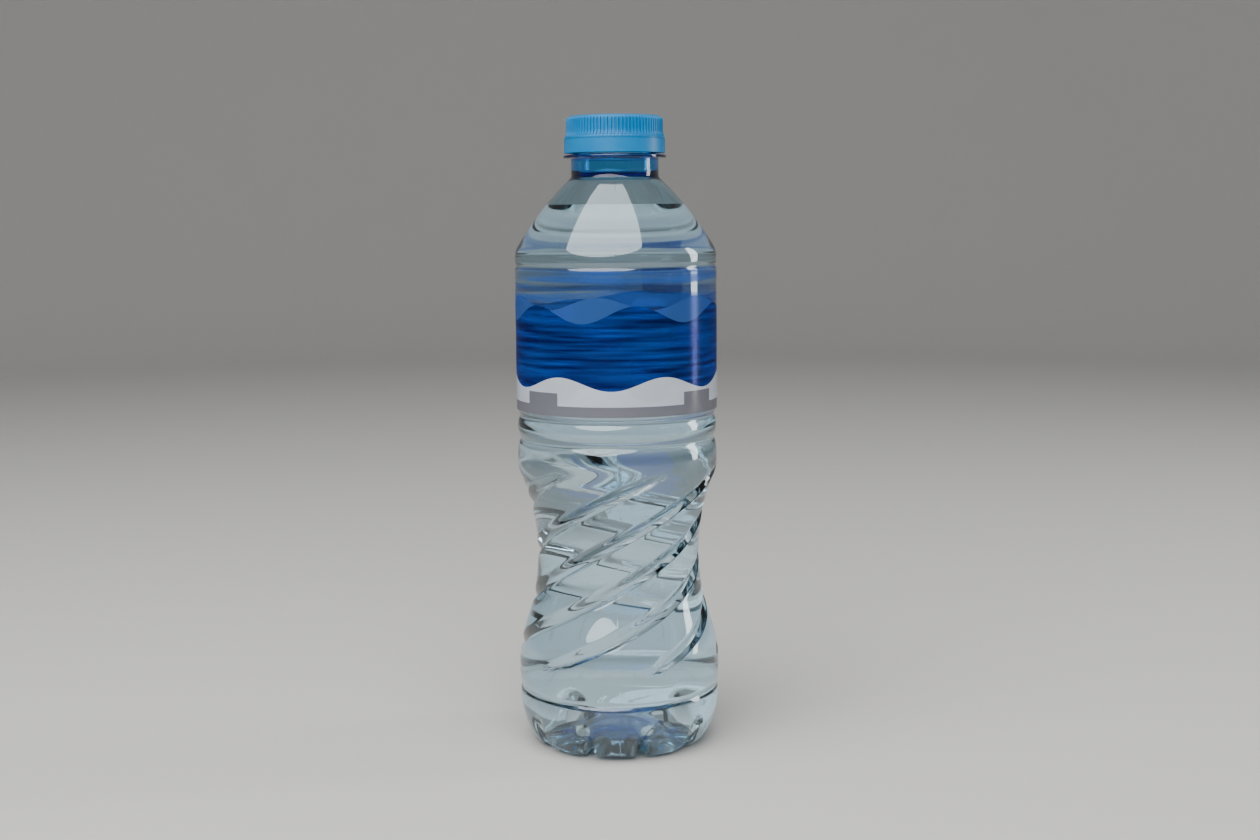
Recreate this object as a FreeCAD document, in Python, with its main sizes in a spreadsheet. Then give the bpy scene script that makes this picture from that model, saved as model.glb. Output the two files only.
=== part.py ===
import FreeCAD, Part
import math
import os

import Sketcher

# Half-litre PET water bottle: blown bottle with a spiral-fluted waist and a ten-footed base,
# screw cap, tamper band, wrap label and the water inside. Millimetres, +Z up, standing on Z = 0,
# the bottle's axis on Z and its front towards -Y.

V = FreeCAD.Vector
doc = FreeCAD.newDocument("water_bottle")

# ---------------------------------------------------------------- driving dimensions
SIZES = [
    # blown body
    ("wall", 0.3, "PET wall of the blown body"),
    ("base_gate", 1.4, "extra thickness at the middle of the base, where the preform's gate was"),
    ("push_up", 6.8, "height of the base's dome above the table"),
    ("foot_width", 2.0, "width of the flat of the feet"),
    ("foot_round", 2.0, "round between the dome and the feet"),
    ("toe_round", 7.5, "round between the feet and the heel"),
    ("heel_round", 28.0, "large round of the heel"),
    ("heel_inset", 9.85, "the feet's flat ends this far inside the base band"),
    ("panel_radius", 32.45, "radius of the label panel"),
    ("base_step", 0.4, "the base band stands this far outside the label panel"),
    ("waist_depth", 6.0, "depth of the waist below the label panel"),
    ("waist_height", 63.0, "height of the narrowest place"),
    ("waist_sweep", 68.0, "hollow curve of the waist"),
    ("waist_low_round", 43.0, "round from the base band into the waist"),
    ("waist_top_round", 12.0, "round from the waist into the label panel"),
    ("shoulder_height", 31.2, "height of the cone, from the straight side up to the support ring"),
    ("shoulder_edge", 7.0, "round between the side and the shoulder"),
    ("shoulder_round", 100.0, "slight crown of the shoulder"),
    ("neck_height", 190.5, "height of the support ring's underside"),
    # rings pressed into the side
    ("ring_round", 1.2, "section radius of the pressed rings"),
    ("base_ring_height", 19.1, "height of the ring between the heel and the waist"),
    ("base_ring_depth", 0.6, "its depth"),
    ("low_ring_drop", 9.6, "ring below the label: how far below the label's edge"),
    ("low_ring_depth", 0.45, "its depth"),
    ("label_ring_offset_low", 2.3, "ring under the label's lower edge: how far below it"),
    ("label_ring_offset_top", 1.0, "ring over the label's upper edge: how far above it"),
    ("label_ring_depth", 0.3, "depth of the rings at the label's edges"),
    # spiral flutes of the waist
    ("flute_count", 6, "spiral flutes round the waist"),
    ("flute_round", 2.6, "section radius of a flute"),
    ("flute_depth", 1.4, "depth of a flute below the waist's surface"),
    ("flute_below", 31.0, "a flute's lower end is this far below the narrowest place"),
    ("flute_above", 26.4, "a flute's upper end is this far above it"),
    ("flute_twist", 4.0, "degrees of turn for each millimetre of rise"),
    ("flute_phase", -59.0, "bearing of one flute at the narrowest place"),
    # channels between the feet
    ("foot_count", 10, "feet under the base"),
    ("channel_width", 2.3, "width of a channel between two feet"),
    ("channel_inner", 9.0, "radius where a channel begins under the dome"),
    ("channel_depth", 2.3, "depth of a channel above the table"),
    ("channel_top", 10.5, "height of a channel's end on the heel"),
    ("channel_phase", -74.6, "bearing of one channel"),
    # neck, all worked out from the bore
    ("bore_radius", 10.9, "inside of the neck"),
    ("bore_foot_round", 7.0, "round inside the neck's foot"),
    ("bore_foot_drop", 2.5, "that round's centre is this far below the support ring"),
    ("bore_lap", 1.5, "straight bore above that round, where the drilled bore starts"),
    ("neck_wall", 3.15, "wall of the neck below the support ring"),
    ("neck_foot_round", 1.5, "round at the neck's foot"),
    ("neck_foot_drop", 5.3, "that round's centre is this far below the support ring"),
    ("finish_wall", 1.7, "wall of the threaded finish"),
    ("finish_height", 11.9, "height of the mouth above the support ring's underside"),
    ("ring_overhang", 3.9, "support ring stands out from the finish"),
    ("ring_thickness", 1.4, "support ring's thickness at its root"),
    ("ring_edge", 0.9, "support ring's thickness at its edge"),
    ("mouth_chamfer", 0.5, "chamfer of the mouth's lip"),
    ("bead_depth", 1.5, "bead that holds the tamper band stands out from the finish"),
    ("bead_rise", 1.9, "height of the bead's underside above the support ring"),
    ("bead_edge", 0.5, "height of the bead's edge"),
    ("bead_height", 1.5, "whole height of the bead"),
    # screw thread: three starts
    ("thread_starts", 3, "number of thread starts"),
    ("thread_lead", 9.0, "rise for one whole turn"),
    ("thread_depth", 1.1, "depth of the neck's thread"),
    ("thread_rise", 6.7, "height of the neck thread's lower end above the ring's underside"),
    ("thread_turns", 0.4, "turns of each start on the neck"),
    ("thread_root_width", 1.5, "width of a thread at its root"),
    ("thread_crest_width", 0.7, "width of a thread at its crest"),
    ("root_sink", 0.2, "how far a thread's or a rib's root is sunk into its wall"),
    ("thread_drop", 1.25, "cap thread's place below the neck thread"),
    ("cap_thread_turns", 0.3, "turns of each start in the cap"),
    ("cap_thread_depth", 1.05, "depth of the cap's thread"),
    # cap
    ("thread_clearance", 0.4, "clearance from the neck thread's crest to the skirt"),
    ("skirt_wall", 0.9, "wall of the cap's skirt"),
    ("rib_height", 0.34, "height of the grip ribs"),
    ("rib_count", 84, "grip ribs"),
    ("rib_root", 0.8, "width of a rib at its root"),
    ("rib_tip", 0.4, "width of a rib at its crest"),
    ("rib_end", 0.9, "ribs end this far below the cap's top"),
    ("mouth_clearance", 0.1, "clearance between the mouth and the cap's top plate"),
    ("cap_top_thickness", 1.3, "cap's top plate"),
    ("cap_edge_round", 1.2, "round of the cap's upper edge"),
    ("skirt_rise", 6.4, "height of the skirt's lower edge above the ring's underside"),
    ("flare_height", 2.0, "height of the flare at the skirt's foot"),
    ("flare_width", 1.0, "how far the flare stands out from the skirt"),
    ("plug_clearance", 0.06, "running clearance of the plug seal in the neck"),
    ("plug_thickness", 0.8, "wall of the plug seal"),
    ("plug_length", 2.6, "length of the plug seal"),
    # tamper band
    ("band_wall", 1.3, "wall of the tamper band"),
    ("bead_clearance", 0.8, "clearance between the bead and the band's inside"),
    ("lip_catch", 0.75, "how far the band's lip reaches under the bead"),
    ("lip_height", 0.9, "height of that lip's edge"),
    ("lip_slope", 0.85, "rise of the lip's upper face"),
    ("band_gap", 0.25, "band's clearance above the support ring"),
    ("band_slit", 0.35, "slit between the band and the cap"),
    ("bridge_count", 12, "bridges across the slit"),
    ("bridge_width", 0.8, "width of a bridge along the slit"),
    ("bridge_depth", 0.6, "depth of a bridge"),
    ("bridge_parting", 0.03, "parting between a bridge and the cap"),
    # label and water
    ("label_low", 110.6, "height of the label's lower edge"),
    ("label_height", 45.0, "height of the label"),
    ("label_film", 0.08, "thickness of the label's film"),
    ("label_gap", 0.05, "label's clearance round the panel"),
    ("label_overlap", 12.0, "degrees of overlap at the label's seam"),
    ("seam_bearing", 70.0, "bearing of the label's seam"),
    ("water_gap", 0.15, "clearance between the water and the wall"),
    ("headspace", 14.7, "water's surface below the support ring's underside"),
]

# ---------------------------------------------------------------- sizes worked out from them
BASE_RADIUS = "(dims.panel_radius + dims.base_step)"
WAIST_CENTRE = "(dims.panel_radius - dims.waist_depth + dims.waist_sweep)"
FOOT_OUTER = "(dims.panel_radius + dims.base_step - dims.heel_inset)"
FOOT_INNER = "(dims.panel_radius + dims.base_step - dims.heel_inset - dims.foot_width)"
SHOULDER_START = "(dims.neck_height - dims.shoulder_height)"
LABEL_HIGH = "(dims.label_low + dims.label_height)"
RINGS = {
    "base_ring": ("dims.base_ring_height", "dims.base_ring_depth"),
    "low_ring": ("(dims.label_low - dims.low_ring_drop)", "dims.low_ring_depth"),
    "label_low_ring": ("(dims.label_low - dims.label_ring_offset_low)", "dims.label_ring_depth"),
    "label_top_ring": ("(" + LABEL_HIGH + " + dims.label_ring_offset_top)", "dims.label_ring_depth"),
}
NECK_RADIUS = "(dims.bore_radius + dims.neck_wall)"
FINISH_RADIUS = "(dims.bore_radius + dims.finish_wall)"
RING_RADIUS = "(" + FINISH_RADIUS + " + dims.ring_overhang)"
NECK_FOOT = "(dims.neck_height - dims.neck_foot_drop)"
BORE_FOOT = "(dims.neck_height - dims.bore_foot_drop)"
THREAD_CREST = "(" + FINISH_RADIUS + " + dims.thread_depth)"
BEAD_RADIUS = "(" + FINISH_RADIUS + " + dims.bead_depth)"
CAP_BORE = "(" + THREAD_CREST + " + dims.thread_clearance)"
CAP_RADIUS = "(" + CAP_BORE + " + dims.skirt_wall)"
RIB_CREST = "(" + CAP_RADIUS + " + dims.rib_height)"
CAP_THREAD_CREST = "(" + CAP_BORE + " - dims.cap_thread_depth)"
FLARE_RADIUS = "(" + CAP_RADIUS + " + dims.flare_width)"
BAND_BORE = "(" + BEAD_RADIUS + " + dims.bead_clearance)"
BAND_RADIUS = "(" + BAND_BORE + " + dims.band_wall)"
LIP_BORE = "(" + BEAD_RADIUS + " - dims.lip_catch)"
MOUTH = "(dims.neck_height + dims.finish_height)"
BEAD_LOW = "(dims.neck_height + dims.ring_thickness + dims.bead_rise)"
NECK_THREAD = "(dims.neck_height + dims.thread_rise)"
# the cap's thread starts a quarter turn further round, below the neck's thread all the way
CAP_THREAD = "(" + NECK_THREAD + " + dims.thread_lead / 4 - dims.thread_drop)"
UNDER_TOP = "(" + MOUTH + " + dims.mouth_clearance)"
CAP_TOP = "(" + UNDER_TOP + " + dims.cap_top_thickness)"
SKIRT_LOW = "(dims.neck_height + dims.skirt_rise)"
PLUG_RADIUS = "(dims.bore_radius - dims.plug_clearance)"
BAND_LOW = "(dims.neck_height + dims.ring_thickness + dims.band_gap)"
BAND_HIGH = "(" + SKIRT_LOW + " - dims.band_slit)"
LABEL_BORE = "(dims.panel_radius + dims.label_gap)"
FILL_HEIGHT = "(dims.neck_height - dims.headspace)"

dims = doc.addObject("Spreadsheet::Sheet", "dims")
for row, (alias, value, note) in enumerate(SIZES, start=1):
    dims.set("A%d" % row, note)
    dims.set("B%d" % row, str(value))
    dims.setAlias("B%d" % row, alias)
doc.recompute()
reader = doc.addObject("App::FeaturePython", "reader")


def size(expression):
    """The present number of one alias of the sheet, or of an expression that names dims."""
    if expression.isidentifier():
        expression = "dims." + expression
    now = reader.evalExpression(expression)
    return float(getattr(now, "Value", now))


# ---------------------------------------------------------------- small helpers
def plane(body, role):
    """One of a body's own origin planes or axes, found by its role."""
    return next(item for item in body.Origin.OriginFeatures if item.Role == role)


def new_sketch(body, name, role):
    """A sketch on one of the body's own origin planes."""
    sketch = body.newObject("Sketcher::SketchObject", name)
    sketch.AttachmentSupport = [(plane(body, role), "")]
    sketch.MapMode = "FlatFace"
    return sketch


def fix(sketch, kind, expression, *where):
    """Adds one measured constraint and binds it to an expression of the sheet."""
    now = size(expression)
    index = sketch.addConstraint(Sketcher.Constraint(kind, *where, now))
    sketch.setExpression("Constraints[%d]" % index, expression)


def polygon(sketch, corners):
    """A closed outline of straight lines. Each corner is a pair of expressions, X and Y."""
    spots = [V(size(x), size(y), 0) for x, y in corners]
    count = len(corners)
    first = sketch.GeometryCount
    for k in range(count):
        sketch.addGeometry(Part.LineSegment(spots[k], spots[(k + 1) % count]), False)
    for k in range(count):
        here, after = first + k, first + (k + 1) % count
        sketch.addConstraint(Sketcher.Constraint("Coincident", here, 2, after, 1))
    for k, (x, y) in enumerate(corners):
        fix(sketch, "DistanceX", x, -1, 1, first + k, 1)
        fix(sketch, "DistanceY", y, -1, 1, first + k, 1)


def revolve(body, sketch, name):
    """Turns a half-section once round the Z axis."""
    turned = body.newObject("PartDesign::Revolution", name)
    turned.Profile = sketch
    turned.ReferenceAxis = (sketch, ["V_Axis"])
    turned.Angle = 360
    doc.recompute()
    return turned


def polar(body, feature, name, count):
    """Repeats a feature of the body round the Z axis."""
    pattern = body.newObject("PartDesign::PolarPattern", name)
    pattern.Originals = [feature]
    pattern.Axis = (plane(body, "Z_Axis"), [""])
    pattern.Angle = 360
    pattern.setExpression("Occurrences", count)
    body.Tip = pattern
    doc.recompute()
    return pattern


def helical_thread(body, sketch, name, turns):
    """A right-handed thread of the sketch's section, once per start."""
    thread = body.newObject("PartDesign::AdditiveHelix", name)
    thread.Profile = sketch
    thread.ReferenceAxis = (sketch, ["V_Axis"])
    thread.Mode = "pitch-turns-angle"
    thread.setExpression("Pitch", "dims.thread_lead")
    thread.setExpression("Turns", turns)
    doc.recompute()
    return polar(body, thread, name + "_starts", "dims.thread_starts")


# ---------------------------------------------------------------- blown form
def ringed_side(sketch, inset, face, low, high, rings):
    """A straight upright side of the outline with pressed rings in it. Returns its straight runs."""
    x = size(face) - size(inset)
    round_ = size("ring_round") + size(inset)
    runs, arcs, below = [], [], low
    for ring in rings:
        height, depth = RINGS[ring]
        centre = V(size(face) + size("ring_round") - size(depth), size(height), 0)
        half = math.acos((centre.x - x) / round_)
        rise = round_ * math.sin(half)
        circle = Part.Circle(centre, V(0, 0, 1), round_)
        runs.append(sketch.addGeometry(Part.LineSegment(V(x, below, 0), V(x, centre.y - rise, 0)), False))
        arcs.append(sketch.addGeometry(Part.ArcOfCircle(circle, math.pi - half, math.pi + half), False))
        fix(sketch, "Radius", "dims.ring_round + " + inset, arcs[-1])
        fix(sketch, "DistanceX", "%s + dims.ring_round - %s" % (face, depth), -1, 1, arcs[-1], 3)
        fix(sketch, "DistanceY", height, -1, 1, arcs[-1], 3)
        below = centre.y + rise
    runs.append(sketch.addGeometry(Part.LineSegment(V(x, below, 0), V(x, high, 0)), False))
    for run in runs:
        sketch.addConstraint(Sketcher.Constraint("Vertical", run))
        fix(sketch, "DistanceX", "%s - %s" % (face, inset), -1, 1, run, 2)
    for k, arc in enumerate(arcs):
        sketch.addConstraint(Sketcher.Constraint("Coincident", runs[k], 2, arc, 2))
        sketch.addConstraint(Sketcher.Constraint("Coincident", arc, 1, runs[k + 1], 1))
    return runs


def form_outline(body, name, inset, apex, neck, foot_round, foot_height, top):
    """The half-section of the blown form, set in from its outer face by inset. Straight runs and
    tangent rounds, from the middle of the base up the side to the neck and back down the axis."""
    sketch = new_sketch(body, name, "XZ_Plane")
    step, rise, side = size(inset), size(apex), size(neck)
    inner, outer = size(FOOT_INNER), size(FOOT_OUTER)
    base, panel = size(BASE_RADIUS), size("panel_radius")

    # centres of the rounds; a set-in outline keeps them and changes the radii only
    small, toe, heel = size("foot_round"), size("toe_round"), size("heel_round")
    reach = small - rise
    dome = (reach**2 - (small - step)**2 + inner**2) / (2 * (small - step - reach))
    heel_z = toe + math.sqrt((heel - toe)**2 - (outer - base + heel)**2)
    sweep, waist_x, waist_z = size("waist_sweep"), size(WAIST_CENTRE), size("waist_height")
    low, high = size("waist_low_round"), size("waist_top_round")
    low_z = waist_z - math.sqrt((low + sweep)**2 - (waist_x - base + low)**2)
    high_z = waist_z + math.sqrt((high + sweep)**2 - (waist_x - panel + high)**2)
    edge, crown = size("shoulder_edge"), size("shoulder_round")
    edge_x, edge_z = panel - edge, size(SHOULDER_START)
    foot, foot_z = size(foot_round), size(foot_height)
    foot_x = side + foot
    # the shoulder's centre lies crown - edge from one round's centre and crown + foot from the other
    span = math.hypot(foot_x - edge_x, foot_z - edge_z)
    along = ((crown - edge)**2 - (crown - step + foot)**2 + span**2) / (2 * span)
    across = math.sqrt((crown - edge)**2 - along**2)
    ux, uz = (foot_x - edge_x) / span, (foot_z - edge_z) / span
    crown_x, crown_z = edge_x + along * ux - across * uz, edge_z + along * uz + across * ux
    if crown_z > edge_z:
        crown_x, crown_z = edge_x + along * ux + across * uz, edge_z + along * uz - across * ux

    def bearing(from_x, from_z, to_x, to_z):
        return math.atan2(to_z - from_z, to_x - from_x)

    def arc(x, z, radius, start, end):
        circle = Part.Circle(V(x, z, 0), V(0, 0, 1), radius)
        return sketch.addGeometry(Part.ArcOfCircle(circle, start, end), False)

    def line(x1, z1, x2, z2):
        return sketch.addGeometry(Part.LineSegment(V(x1, z1, 0), V(x2, z2, 0)), False)

    down, right, left = -math.pi / 2, 0.0, math.pi
    under = bearing(0, rise - dome, inner, small)
    turn = bearing(base - heel, heel_z, outer, toe)
    into = bearing(base - low, low_z, waist_x, waist_z)
    out = bearing(panel - high, high_z, waist_x, waist_z)
    over = bearing(crown_x, crown_z, edge_x, edge_z)
    last = bearing(crown_x, crown_z, foot_x, foot_z)
    roof = size(top)

    base_dome = arc(0, rise - dome, dome, under, -down)
    foot_in = arc(inner, small, small - step, under + math.pi, down + 2 * math.pi)
    flat = line(inner, step, outer, step)
    foot_out = arc(outer, toe, toe - step, down, turn)
    heel_arc = arc(base - heel, heel_z, heel - step, turn, right)
    base_side = ringed_side(sketch, inset, BASE_RADIUS, heel_z, low_z, ["base_ring"])
    waist_in = arc(base - low, low_z, low - step, right, into)
    waist = arc(waist_x, waist_z, sweep + step, out + math.pi, into + math.pi)
    waist_out = arc(panel - high, high_z, high - step, out, right)
    panel_side = ringed_side(sketch, inset, "dims.panel_radius", high_z, edge_z,
                             ["low_ring", "label_low_ring", "label_top_ring"])
    shoulder_in = arc(edge_x, edge_z, edge - step, right, over)
    shoulder = arc(crown_x, crown_z, crown - step, over, last)
    neck_in = arc(foot_x, foot_z, foot, left, last + math.pi)
    neck_side = line(side, foot_z, side, roof)
    lid = line(side, roof, 0, roof)
    axis = line(0, roof, 0, rise)

    # every joint is tangent; 1 is a line's or an arc's start and 2 its end
    joints = [
        (base_dome, 1, foot_in, 1), (foot_in, 2, flat, 1), (flat, 2, foot_out, 1),
        (foot_out, 2, heel_arc, 1), (heel_arc, 2, base_side[0], 1), (base_side[-1], 2, waist_in, 1),
        (waist_in, 2, waist, 2), (waist, 1, waist_out, 1), (waist_out, 2, panel_side[0], 1),
        (panel_side[-1], 2, shoulder_in, 1), (shoulder_in, 2, shoulder, 1), (shoulder, 2, neck_in, 2),
        (neck_in, 1, neck_side, 1),
    ]
    for joint in joints:
        sketch.addConstraint(Sketcher.Constraint("Tangent", *joint))
    for joint in [(neck_side, 2, lid, 1), (lid, 2, axis, 1), (axis, 2, base_dome, 2)]:
        sketch.addConstraint(Sketcher.Constraint("Coincident", *joint))
    sketch.addConstraint(Sketcher.Constraint("Vertical", neck_side))
    for level in (flat, lid):
        sketch.addConstraint(Sketcher.Constraint("Horizontal", level))
    for on_axis in [(axis, 1), (axis, 2), (base_dome, 3)]:
        sketch.addConstraint(Sketcher.Constraint("PointOnObject", *on_axis, -2))

    fix(sketch, "DistanceY", apex, -1, 1, axis, 2)
    fix(sketch, "DistanceY", top, -1, 1, axis, 1)
    if step:
        fix(sketch, "DistanceY", inset, -1, 1, flat, 1)
    else:
        sketch.addConstraint(Sketcher.Constraint("PointOnObject", flat, 1, -1))
    fix(sketch, "DistanceX", FOOT_INNER, -1, 1, foot_in, 3)
    fix(sketch, "DistanceX", FOOT_OUTER, -1, 1, foot_out, 3)
    fix(sketch, "DistanceX", WAIST_CENTRE, -1, 1, waist, 3)
    fix(sketch, "DistanceY", "dims.waist_height", -1, 1, waist, 3)
    fix(sketch, "DistanceY", SHOULDER_START, -1, 1, shoulder_in, 3)
    fix(sketch, "DistanceX", neck, -1, 1, neck_side, 1)
    fix(sketch, "DistanceY", foot_height, -1, 1, neck_in, 3)
    fix(sketch, "Radius", "dims.foot_round - " + inset, foot_in)
    fix(sketch, "Radius", "dims.toe_round - " + inset, foot_out)
    fix(sketch, "Radius", "dims.heel_round - " + inset, heel_arc)
    fix(sketch, "Radius", "dims.waist_low_round - " + inset, waist_in)
    fix(sketch, "Radius", "dims.waist_sweep + " + inset, waist)
    fix(sketch, "Radius", "dims.waist_top_round - " + inset, waist_out)
    fix(sketch, "Radius", "dims.shoulder_edge - " + inset, shoulder_in)
    fix(sketch, "Radius", "dims.shoulder_round - " + inset, shoulder)
    fix(sketch, "Radius", foot_round, neck_in)
    return sketch


def side_radius(height):
    """Radius of the form's outer face between the base band and the label panel."""
    sweep, waist_x, waist_z = size("waist_sweep"), size(WAIST_CENTRE), size("waist_height")
    below = (size("waist_low_round"), size(BASE_RADIUS), -1)
    above = (size("waist_top_round"), size("panel_radius"), 1)
    for round_, side, sign in (below, above):
        centre = waist_z + sign * math.sqrt((round_ + sweep)**2 - (waist_x - side + round_)**2)
        meet = centre + (waist_z - centre) * round_ / (round_ + sweep)
        if sign * (height - centre) >= 0:
            return side
        if sign * (height - meet) >= 0:
            return side - round_ + math.sqrt(round_**2 - (height - centre)**2)
    return waist_x - math.sqrt(sweep**2 - (height - waist_z)**2)


def swept_round(path, radius):
    """A round bar along a path, with ball ends."""
    start = path.Edges[0].firstVertex(True).Point
    end = path.Edges[-1].lastVertex(True).Point
    tangent = path.Edges[0].tangentAt(path.Edges[0].FirstParameter)
    section = Part.Wire([Part.makeCircle(radius, start, tangent)])
    bar = path.makePipeShell([section], True, True)
    return bar.fuse([Part.makeSphere(radius, start), Part.makeSphere(radius, end)])


def ring_of(tool, count, name):
    """A Part::Feature that holds copies of a tool, evenly round the Z axis."""
    copies = []
    for k in range(int(count)):
        copy = tool.copy()
        copy.rotate(V(0, 0, 0), V(0, 0, 1), 360.0 * k / count)
        copies.append(copy)
    feature = doc.addObject("Part::Feature", name)
    feature.Shape = Part.makeCompound(copies)
    return feature


POINT_SPACING = 2.5  # between the points that a flute's curve runs through


def flute_tools(name, inset):
    """The spiral flutes. Their path keeps one depth below the waist's face, so it is a curve
    that no primitive has."""
    low, high = -size("flute_below"), size("flute_above")
    steps = round((high - low) / POINT_SPACING)
    spots = []
    for k in range(steps + 1):
        rise = low + (high - low) * k / steps
        z = size("waist_height") + rise
        turn = math.radians(size("flute_phase") + size("flute_twist") * rise)
        reach = side_radius(z) - size("flute_depth") + size("flute_round")
        spots.append(V(reach * math.cos(turn), reach * math.sin(turn), z))
    curve = Part.BSplineCurve()
    curve.interpolate(spots)
    tool = swept_round(Part.Wire([curve.toShape()]), size("flute_round") + inset)
    return ring_of(tool, size("flute_count"), name)


def channel_tools(name, inset):
    """The channels between the feet: a slot down the dome's side, across the feet and up the heel."""
    dome_end, deep, top = size("channel_inner"), size("channel_depth"), size("channel_top")
    outside, below = 1.2 * size(BASE_RADIUS), -deep
    floor = [
        V(dome_end, 0, below),
        V(dome_end, 0, size("push_up")),
        V(size(FOOT_INNER), 0, deep),
        V(size(FOOT_OUTER), 0, deep),
        V(side_at_heel(top), 0, top),
        V(outside, 0, top),
        V(outside, 0, below),
    ]
    section = Part.Face(Part.makePolygon(floor + floor[:1]))
    if inset:
        section = section.makeOffset2D(inset, 2)
    half = size("channel_width") / 2 + inset
    section.translate(V(0, -half, 0))
    tool = section.extrude(V(0, 2 * half, 0))
    tool.rotate(V(0, 0, 0), V(0, 0, 1), size("channel_phase"))
    return ring_of(tool, size("foot_count"), name)


def side_at_heel(height):
    """Radius of the heel's outer face at a height."""
    toe, heel, base, outer = size("toe_round"), size("heel_round"), size(BASE_RADIUS), size(FOOT_OUTER)
    centre = toe + math.sqrt((heel - toe)**2 - (outer - base + heel)**2)
    return base - heel + math.sqrt(heel**2 - (height - centre)**2)


def blown_form(name, inset, apex, neck, foot_round, foot_height, top):
    """The blown shape as a closed solid, set in by inset: the outer face, the inner face or the water."""
    body = doc.addObject("PartDesign::Body", name + "_turned")
    sketch = form_outline(body, name + "_outline", inset, apex, neck, foot_round, foot_height, top)
    revolve(body, sketch, name + "_revolution")
    step = size(inset)
    tools = [flute_tools(name + "_flutes", step), channel_tools(name + "_channels", step)]
    cutter = doc.addObject("Part::Compound", name + "_cutter")
    cutter.Links = tools
    form = doc.addObject("Part::Cut", name)
    form.Base = body
    form.Tool = cutter
    doc.recompute()
    return form


outer_form = blown_form("outer_form", "0", "dims.push_up", NECK_RADIUS,
                        "dims.neck_foot_round", NECK_FOOT, "dims.neck_height")
cavity = blown_form("cavity", "dims.wall", "dims.push_up + dims.base_gate", "dims.bore_radius",
                    "dims.bore_foot_round", BORE_FOOT,
                    BORE_FOOT + " + dims.bore_lap")

# ---------------------------------------------------------------- bottle
finish = doc.addObject("PartDesign::Body", "finish")
finish_section = new_sketch(finish, "finish_section", "XZ_Plane")
polygon(finish_section, [
    ("0", "dims.neck_height"),
    (RING_RADIUS, "dims.neck_height"),
    (RING_RADIUS, "dims.neck_height + dims.ring_edge"),
    (FINISH_RADIUS, "dims.neck_height + dims.ring_thickness"),
    (FINISH_RADIUS, BEAD_LOW),
    (BEAD_RADIUS, BEAD_LOW),
    (BEAD_RADIUS, BEAD_LOW + " + dims.bead_edge"),
    (FINISH_RADIUS, BEAD_LOW + " + dims.bead_height"),
    (FINISH_RADIUS, MOUTH + " - dims.mouth_chamfer"),
    (FINISH_RADIUS + " - dims.mouth_chamfer", MOUTH),
    ("0", MOUTH),
])
revolve(finish, finish_section, "finish_revolution")

neck_thread_section = new_sketch(finish, "neck_thread_section", "XZ_Plane")
polygon(neck_thread_section, [
    (FINISH_RADIUS + " - dims.root_sink", NECK_THREAD + " - dims.thread_root_width / 2"),
    (FINISH_RADIUS, NECK_THREAD + " - dims.thread_root_width / 2"),
    (THREAD_CREST, NECK_THREAD + " - dims.thread_crest_width / 2"),
    (THREAD_CREST, NECK_THREAD + " + dims.thread_crest_width / 2"),
    (FINISH_RADIUS, NECK_THREAD + " + dims.thread_root_width / 2"),
    (FINISH_RADIUS + " - dims.root_sink", NECK_THREAD + " + dims.thread_root_width / 2"),
])
helical_thread(finish, neck_thread_section, "neck_thread", "dims.thread_turns")

outside = doc.addObject("Part::Fuse", "bottle_outside")
outside.Base = outer_form
outside.Tool = finish

# The cavity lies wholly inside, so the wall is one solid with an outer and an inner skin. That
# spares a cut between hundreds of faces that lie one wall apart.
doc.recompute()
skins = [outside.Shape.Solids[0].Shells[0], cavity.Shape.Solids[0].Shells[0].reversed()]
closed_wall = doc.addObject("Part::Feature", "closed_wall")
closed_wall.Shape = Part.makeSolid(Part.makeCompound(skins))

bore = doc.addObject("Part::Cylinder", "bore")
bore.setExpression("Radius", "dims.bore_radius")
bore.setExpression("Height", MOUTH + " - " + BORE_FOOT)
bore.setExpression("Placement.Base.z", BORE_FOOT + " + dims.bore_lap / 2")

bottle = doc.addObject("Part::Cut", "bottle")
bottle.Base = closed_wall
bottle.Tool = bore
bottle.Label = "bottle"

# ---------------------------------------------------------------- water
water_form = blown_form("water_form", "(dims.wall + dims.water_gap)",
                        "dims.push_up + dims.base_gate + dims.water_gap",
                        "dims.bore_radius - dims.water_gap", "dims.bore_foot_round",
                        BORE_FOOT, MOUTH)
headspace = doc.addObject("Part::Cylinder", "headspace")
headspace.setExpression("Radius", BASE_RADIUS)
headspace.setExpression("Height", MOUTH)
headspace.setExpression("Placement.Base.z", FILL_HEIGHT)

water = doc.addObject("Part::Cut", "water")
water.Base = water_form
water.Tool = headspace
water.Label = "water"

# ---------------------------------------------------------------- screw cap
cap = doc.addObject("PartDesign::Body", "cap")
cap.Label = "cap"
cap_section = new_sketch(cap, "cap_section", "XZ_Plane")
polygon(cap_section, [
    ("0", UNDER_TOP),
    (PLUG_RADIUS + " - dims.plug_thickness", UNDER_TOP),
    (PLUG_RADIUS + " - dims.plug_thickness", UNDER_TOP + " - dims.plug_length"),
    (PLUG_RADIUS + " - dims.plug_thickness / 2", UNDER_TOP + " - dims.plug_length"),
    (PLUG_RADIUS, UNDER_TOP + " - dims.plug_length + dims.plug_thickness / 2"),
    (PLUG_RADIUS, UNDER_TOP),
    (CAP_BORE, UNDER_TOP),
    (CAP_BORE, SKIRT_LOW),
    (FLARE_RADIUS, SKIRT_LOW),
    (CAP_RADIUS, SKIRT_LOW + " + dims.flare_height"),
    (CAP_RADIUS, CAP_TOP),
    ("0", CAP_TOP),
])
cap_turned = revolve(cap, cap_section, "cap_revolution")

# the rounded upper edge is the only edge at the full height and the side's radius
edge_names = [
    "Edge%d" % (k + 1) for k, edge in enumerate(cap_turned.Shape.Edges)
    if edge.BoundBox.ZMin > size(CAP_TOP) - 0.01 and edge.BoundBox.XMax > size(CAP_RADIUS) - 0.01
]
cap_edge = cap.newObject("PartDesign::Fillet", "cap_edge")
cap_edge.Base = (cap_turned, edge_names)
cap_edge.setExpression("Radius", "dims.cap_edge_round")
doc.recompute()

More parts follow.
